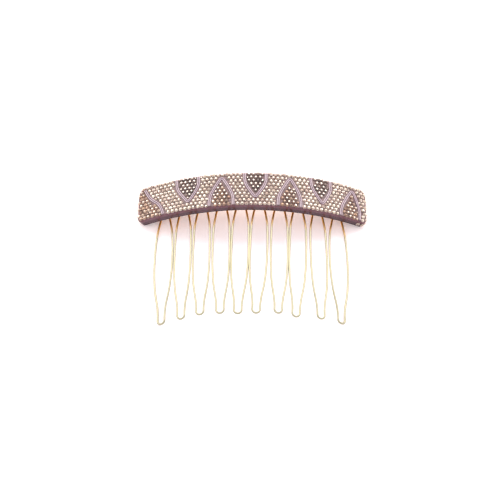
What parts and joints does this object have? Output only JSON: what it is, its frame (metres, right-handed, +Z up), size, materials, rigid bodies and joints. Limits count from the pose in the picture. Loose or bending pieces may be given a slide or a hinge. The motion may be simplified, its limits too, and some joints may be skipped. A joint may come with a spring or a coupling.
{
  "type": "decorative hair comb",
  "caption": "Side hair comb: curved bar paved with small round crystals in triangular panels, on looped gold wire tines.",
  "frame": {"origin": "middle of the comb's footprint, on the surface it lies on, back down", "axes": "+X along the bar, +Y from the tine tips to the bar's top edge, +Z up, out of the decorated face"},
  "size_m": [0.0941, 0.0636, 0.0169],
  "materials": {
    "acetate_plum": "polished",
    "resin_mauve": "cast resin",
    "crystal_silk": "faceted, foil back",
    "crystal_smoke": "faceted, foil back",
    "crystal_topaz": "faceted, foil back",
    "cord_lilac": "satin",
    "gold_wire": "bright gold plate",
    "adhesive": "cured adhesive"
  },
  "bodies": {
    "root": {"adhesive_bead": "adhesive", "bar_body": "acetate_plum", "comb_rail": "gold_wire", "pave_bed": "resin_mauve", "stones_left_edge": "crystal_topaz", "stones_left_end": "crystal_topaz", "stones_light_field_1": "crystal_silk", "stones_light_field_2": "crystal_silk", "stones_light_field_3": "crystal_silk", "stones_light_field_4": "crystal_silk", "stones_right_edge": "crystal_silk", "stones_smoke_panel_1": "crystal_smoke", "stones_smoke_panel_2": "crystal_smoke", "stones_smoke_panel_3": "crystal_smoke", "stones_topaz_panel_1": "crystal_topaz", "stones_topaz_panel_2": "crystal_topaz", "stones_topaz_panel_3": "crystal_topaz", "tine_01": "gold_wire", "tine_02": "gold_wire", "tine_03": "gold_wire", "tine_04": "gold_wire", "tine_05": "gold_wire", "tine_06": "gold_wire", "tine_07": "gold_wire", "tine_08": "gold_wire", "tine_09": "gold_wire", "tine_10": "gold_wire", "trim_left_end_inner": "cord_lilac", "trim_left_end_outer": "cord_lilac", "trim_smoke_panel_1_inner": "cord_lilac", "trim_smoke_panel_1_outer": "cord_lilac", "trim_smoke_panel_2_inner": "cord_lilac", "trim_smoke_panel_2_outer": "cord_lilac", "trim_smoke_panel_3_inner": "cord_lilac", "trim_smoke_panel_3_outer": "cord_lilac", "trim_topaz_panel_1_inner": "cord_lilac", "trim_topaz_panel_1_outer": "cord_lilac", "trim_topaz_panel_2_inner": "cord_lilac", "trim_topaz_panel_2_outer": "cord_lilac", "trim_topaz_panel_3_inner": "cord_lilac", "trim_topaz_panel_3_outer": "cord_lilac"}
  },
  "joints": []
}
